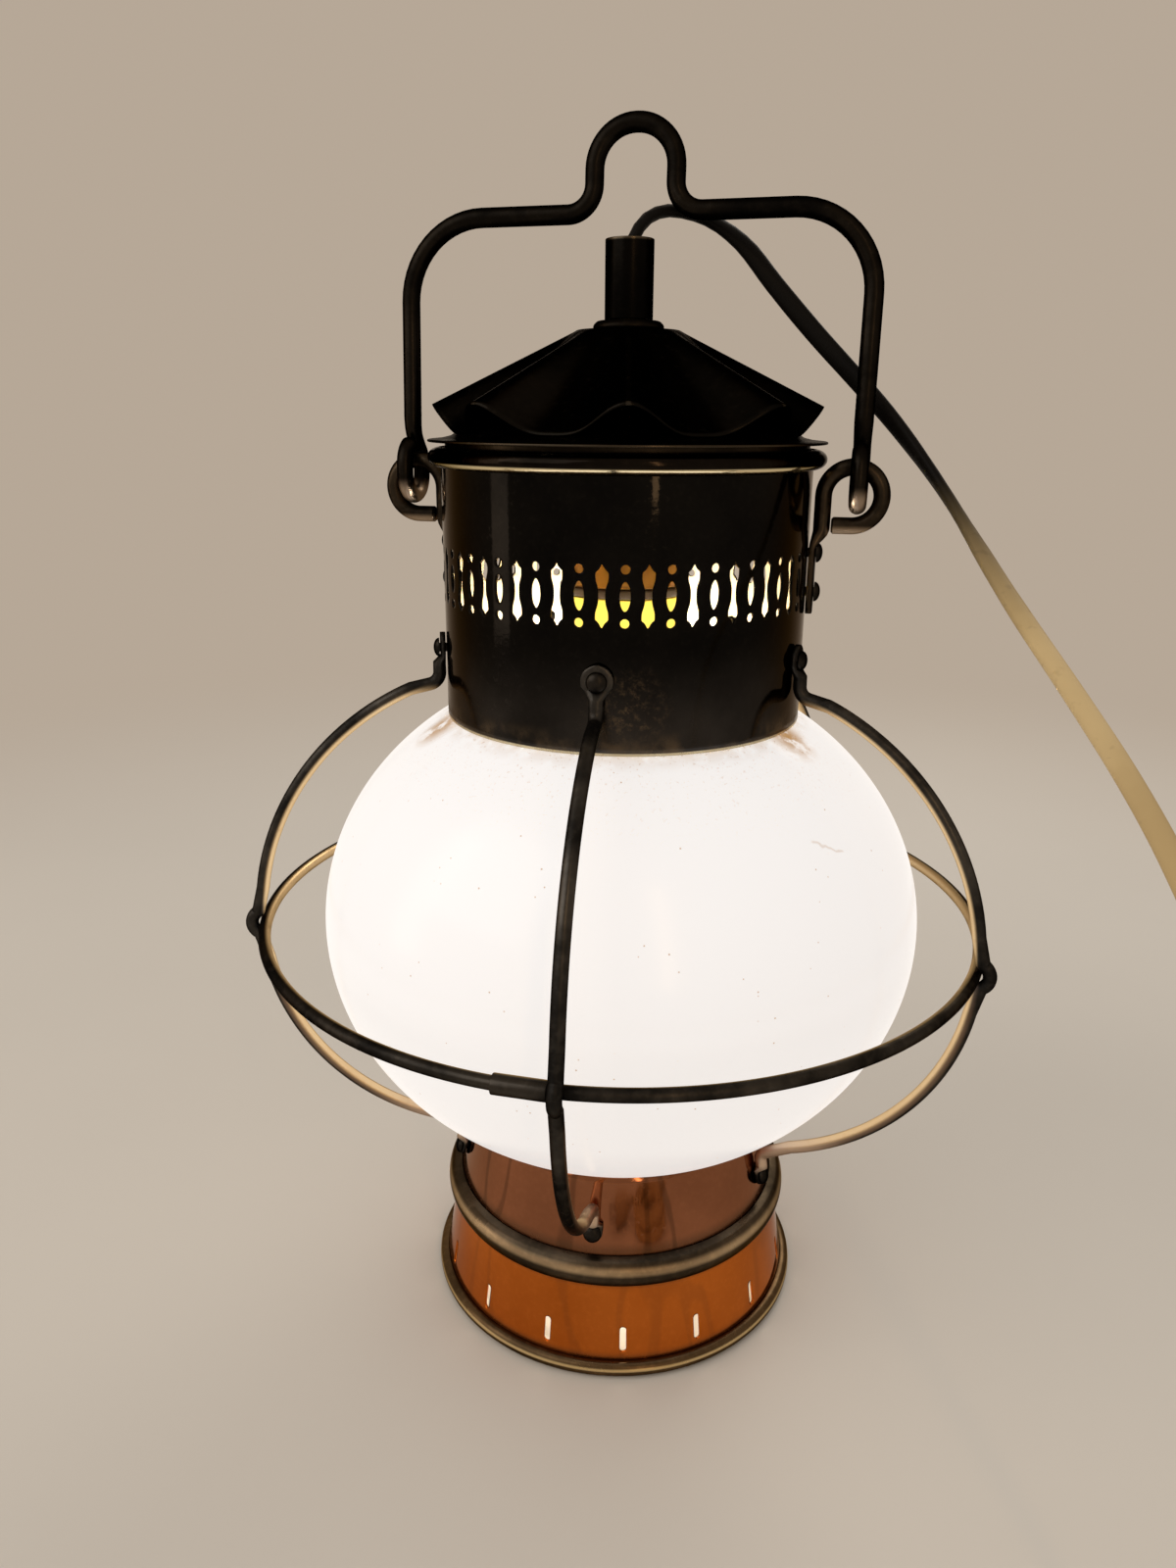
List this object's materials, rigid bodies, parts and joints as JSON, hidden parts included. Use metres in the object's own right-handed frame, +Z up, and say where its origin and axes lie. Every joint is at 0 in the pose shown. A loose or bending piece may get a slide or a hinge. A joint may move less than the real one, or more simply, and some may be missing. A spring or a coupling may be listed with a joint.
{
  "type": "ship lamp",
  "caption": "Electric table lamp in the form of a ship's lantern: opal glass globe in a wire cage, pierced brass drum, fluted roof and swinging bail handle.",
  "frame": {"origin": "the centre of the foot, on the surface that the lamp stands on", "axes": "+Z up the lamp's axis, X through the two ears that the bail hangs in, -Y towards the front"},
  "size_m": [0.3057, 0.3818, 0.3873],
  "materials": {
    "polished_brass": "polished, with a coppery tone",
    "drum_brass": "polished, slightly dulled with dust",
    "roof_brass": "aged, satin",
    "aged_brass": "dark patina, worn bright on the edges",
    "cage_brass": "dark patina",
    "bail_brass": "dark patina",
    "opal_glass": "glossy opal white",
    "bulb_opal": "opal",
    "holder_cream": "moulded, satin",
    "holder_brown": "moulded, glossy",
    "porcelain": "glazed",
    "nickel": "nickel plated",
    "bush_black": "matt",
    "cord_gold": "smooth flexible sleeve, gold"
  },
  "bodies": {
    "lamp": {"foot_ring": "polished_brass", "base_shell": "polished_brass", "drum": "drum_brass", "base_bead": "aged_brass", "globe_seat": "aged_brass", "drum_bead": "aged_brass", "ear_left": "aged_brass", "ear_right": "aged_brass", "ear_rivet_1": "aged_brass", "ear_rivet_2": "aged_brass", "ear_rivet_3": "aged_brass", "ear_rivet_4": "aged_brass", "cage_ring": "cage_brass", "ring_sleeve": "cage_brass", "cage_rod_1": "cage_brass", "cage_rod_2": "cage_brass", "cage_rod_3": "cage_brass", "cage_rod_4": "cage_brass", "cage_rod_5": "cage_brass", "rod_rivet_1": "cage_brass", "rod_rivet_2": "cage_brass", "rod_rivet_3": "cage_brass", "rod_rivet_4": "cage_brass", "rod_rivet_5": "cage_brass", "foot_rivet_1": "cage_brass", "foot_rivet_2": "cage_brass", "foot_rivet_3": "cage_brass", "foot_rivet_4": "cage_brass", "foot_rivet_5": "cage_brass", "glass_globe": "opal_glass", "plug_pin_1": "nickel", "plug_pin_2": "nickel", "cord_run": "cord_gold", "cord_coil": "cord_gold", "cord_tail": "cord_gold", "plug_body": "cord_gold"},
    "roof": {"roof": "roof_brass", "roof_collar": "aged_brass", "apex_collar": "aged_brass", "cord_tube": "roof_brass", "tube_bush": "bush_black", "nipple": "polished_brass", "roof_nut": "polished_brass", "holder_nut": "polished_brass", "holder_cap": "holder_brown", "holder_ring": "holder_brown", "holder_shell": "holder_cream", "contact_block": "porcelain", "screw_shell": "nickel", "bulb_cap": "nickel", "bulb_glass": "bulb_opal", "inner_lead": "cord_gold"},
    "bail": {"bail": "bail_brass"}
  },
  "joints": [
    {"name": "bail_swing", "type": "hinge", "parent": "lamp", "child": "bail", "pos_m": [0, 0, 0.291], "axis": [1, 0, 0], "range_deg": [0, 122]},
    {"name": "roof_turn", "type": "hinge", "parent": "lamp", "child": "roof", "pos_m": [0, 0, 0.3], "axis": [0, 0, 1], "continuous": true}
  ]
}
